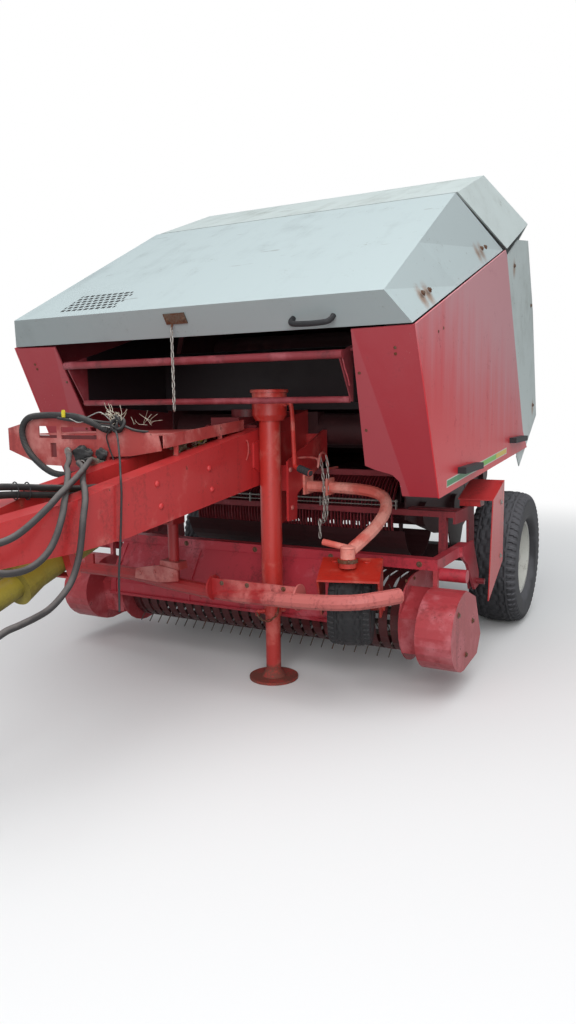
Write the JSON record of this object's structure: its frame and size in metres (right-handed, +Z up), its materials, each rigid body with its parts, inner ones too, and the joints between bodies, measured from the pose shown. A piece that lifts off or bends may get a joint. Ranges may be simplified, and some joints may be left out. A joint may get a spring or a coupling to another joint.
{
  "type": "round baler",
  "caption": "Towed round baler with a fixed roller chamber, hinged hood, side doors and tailgate, a lifting tined pickup and a parking jack.",
  "frame": {"origin": "middle of the machine's footprint box, on the ground", "axes": "+X to the machine's left, +Y to the rear, +Z up; the hitch eye points to -Y"},
  "size_m": [2.19, 4.0869, 2.455],
  "materials": {
    "dark_red": "worn",
    "bright_red": "worn",
    "worn_red": "worn",
    "door_red": "faded",
    "shell_white": "weathered",
    "rim_white": "worn",
    "tyre": "dusty",
    "hose_rubber": "dusty",
    "black_rubber": "matte",
    "black_plastic": "matte",
    "bare_steel": "rusty",
    "shaft_guard": "dirty",
    "lamp_red": "gloss"
  },
  "bodies": {
    "chassis": {"side_wall_left": "dark_red", "side_wall_right": "dark_red", "cross_frame": "dark_red", "axle": "dark_red", "front_rollers": "dark_red", "drawbar": "bright_red", "hitch_eye": "bright_red", "jack_tube": "bright_red", "guard_bar": "worn_red", "gearbox": "dark_red", "pto_shaft": "shaft_guard", "hose_shield": "worn_red", "net_tray": "dark_red", "feeder_frame": "dark_red", "feeder_floor": "dark_red", "wheel_guard_left": "bright_red", "wheel_guard_right": "bright_red", "gauge_arm": "worn_red", "gauge_fork": "bright_red", "hang_chain": "bare_steel", "hoses": "hose_rubber", "cable": "black_rubber", "hose_couplers": "bare_steel", "conduit": "black_rubber"},
    "wheel_left": {"rim_left": "rim_white", "tyre_left": "tyre"},
    "wheel_right": {"rim_right": "rim_white", "tyre_right": "tyre"},
    "hood": {"hood_shell": "shell_white", "hood_grip": "black_plastic", "hood_chain": "bare_steel"},
    "left_door": {"door_left": "door_red", "door_left_grips": "black_plastic"},
    "right_door": {"door_right": "door_red", "door_right_grips": "black_plastic"},
    "tailgate": {"tailgate_frame": "dark_red", "tailgate_back": "dark_red", "tailgate_shell": "shell_white", "tailgate_side_left": "shell_white", "tailgate_side_right": "shell_white", "rear_rollers": "dark_red", "tail_lamps": "lamp_red"},
    "pickup": {"pickup_frame": "worn_red", "pickup_bands": "worn_red", "windguard": "worn_red", "pickup_end_left": "worn_red", "pickup_end_right": "worn_red"},
    "reel": {"pickup_reel": "bare_steel"},
    "rotor": {"feed_rotor": "dark_red"},
    "jack_foot": {"jack_leg": "bright_red"},
    "gauge_wheel": {"gauge_rim": "rim_white", "gauge_tyre": "tyre"}
  },
  "joints": [
    {"name": "wheel_left_turn", "type": "hinge", "parent": "chassis", "child": "wheel_left", "pos_m": [0.963, 1.1115, 0.38], "axis": [1, 0, 0], "continuous": true},
    {"name": "wheel_right_turn", "type": "hinge", "parent": "chassis", "child": "wheel_right", "pos_m": [-0.963, 1.1115, 0.38], "axis": [1, 0, 0], "continuous": true},
    {"name": "hood_open", "type": "hinge", "parent": "chassis", "child": "hood", "pos_m": [0, 0.2715, 2.212], "axis": [-1, 0, 0], "range_deg": [0, 50]},
    {"name": "left_door_open", "type": "hinge", "parent": "chassis", "child": "left_door", "pos_m": [1.015, -0.6735, 1.569], "axis": [0, -0.9457, -0.325], "range_deg": [0, 70]},
    {"name": "right_door_open", "type": "hinge", "parent": "chassis", "child": "right_door", "pos_m": [-1.015, -0.6735, 1.569], "axis": [0, 0.9457, 0.325], "range_deg": [0, 70]},
    {"name": "tailgate_open", "type": "hinge", "parent": "chassis", "child": "tailgate", "pos_m": [0, 0.3115, 2.235], "axis": [1, 0, 0], "range_deg": [0, 60]},
    {"name": "pickup_lift", "type": "hinge", "parent": "chassis", "child": "pickup", "pos_m": [0, 0.4915, 0.36], "axis": [-1, 0, 0], "range_deg": [0, 12]},
    {"name": "reel_turn", "type": "hinge", "parent": "pickup", "child": "reel", "pos_m": [0, 0.0115, 0.285], "axis": [1, 0, 0], "continuous": true},
    {"name": "rotor_turn", "type": "hinge", "parent": "chassis", "child": "rotor", "pos_m": [0, 0.4515, 0.7], "axis": [1, 0, 0], "continuous": true},
    {"name": "jack_slide", "type": "slide", "parent": "chassis", "child": "jack_foot", "axis": [0, 0, 1], "range_m": [0, 0.25]},
    {"name": "gauge_wheel_turn", "type": "hinge", "parent": "chassis", "child": "gauge_wheel", "pos_m": [0.661, -0.4355, 0.413], "axis": [0.9563, 0.2924, 0], "continuous": true}
  ]
}
